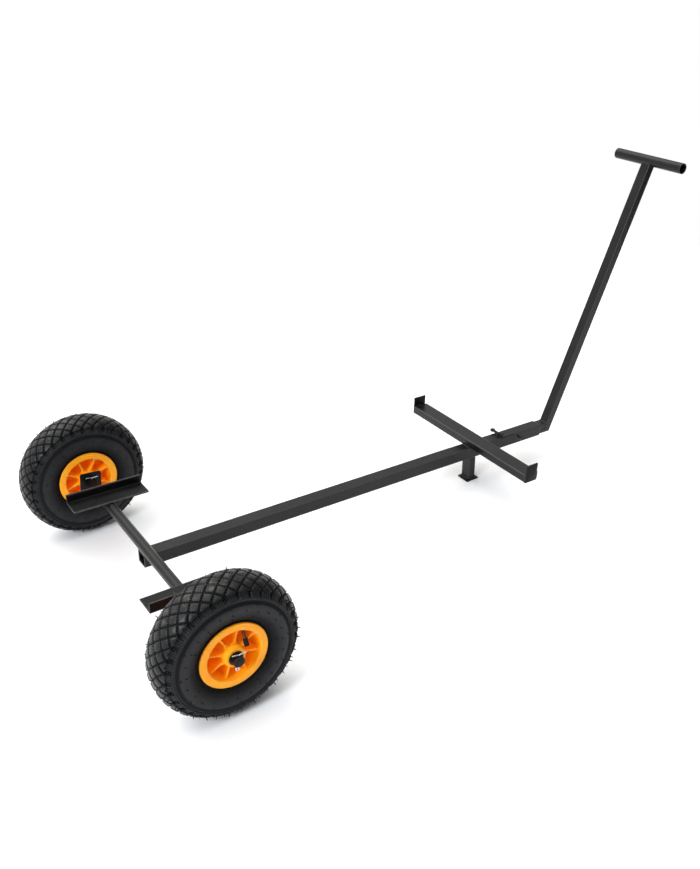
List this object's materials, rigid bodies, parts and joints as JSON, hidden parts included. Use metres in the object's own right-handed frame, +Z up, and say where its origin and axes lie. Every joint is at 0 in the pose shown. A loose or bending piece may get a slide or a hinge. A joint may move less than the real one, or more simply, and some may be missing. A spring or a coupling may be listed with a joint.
{
  "type": "two-wheeled pull dolly",
  "caption": "Long-beam hand dolly on pneumatic wheels with angle cradles, a cross channel with end stops, a rest leg and a leaning T-bar drawbar.",
  "frame": {"origin": "on the floor, under the middle of the dolly's overall length and width", "axes": "+X forward from the axle towards the T-bar, +Y to the dolly's left, +Z up"},
  "size_m": [1.4136, 0.747, 0.6684],
  "materials": {
    "black_steel": "satin black paint over welded steel, thin bright wear on the edges",
    "rubber": "matt black rubber, faint bluish bloom on the sidewall",
    "orange_plastic": "satin moulded orange plastic",
    "zinc": "bright zinc-plated split pins",
    "black_plastic": "black moulded plastic",
    "brass": "dull brass valve tube"
  },
  "bodies": {
    "frame": {"main_beam": "black_steel", "axle_tube": "black_steel", "axle_shaft_left": "black_steel", "axle_shaft_right": "black_steel", "cradle_left": "black_steel", "cradle_right": "black_steel", "square_washer_left": "black_steel", "square_washer_right": "black_steel", "split_pin_outer_left": "zinc", "split_pin_outer_right": "zinc", "split_pin_inner_left": "zinc", "split_pin_inner_right": "zinc", "cross_channel": "black_steel", "cross_plate_left": "black_steel", "cross_plate_right": "black_steel", "support_leg": "black_steel", "foot_plate": "black_steel", "latch_guide": "black_steel"},
    "drawbar": {"drawbar_insert": "black_steel", "handle_post": "black_steel", "grip_tube": "black_steel"},
    "latch": {"latch_rod": "black_steel"},
    "wheel_left": {"tyre_left": "rubber", "rim_left": "orange_plastic", "bush_outer_left": "black_plastic", "bush_inner_left": "black_plastic", "valve_stem_left": "brass", "valve_cap_left": "black_plastic"},
    "wheel_right": {"tyre_right": "rubber", "rim_right": "orange_plastic", "bush_outer_right": "black_plastic", "bush_inner_right": "black_plastic", "valve_stem_right": "brass", "valve_cap_right": "black_plastic"}
  },
  "joints": [
    {"name": "wheel_left_spin", "type": "hinge", "parent": "frame", "child": "wheel_left", "pos_m": [-0.57736, 0.3197, 0.13], "axis": [0, 1, 0], "continuous": true},
    {"name": "wheel_right_spin", "type": "hinge", "parent": "frame", "child": "wheel_right", "pos_m": [-0.57736, -0.3197, 0.13], "axis": [0, 1, 0], "continuous": true},
    {"name": "drawbar_slide", "type": "slide", "parent": "frame", "child": "drawbar", "axis": [0.9991, 0, -0.0415], "range_m": [0, 0.12]},
    {"name": "latch_slide", "type": "slide", "parent": "frame", "child": "latch", "axis": [0, -1, 0], "range_m": [0, 0.01]}
  ]
}
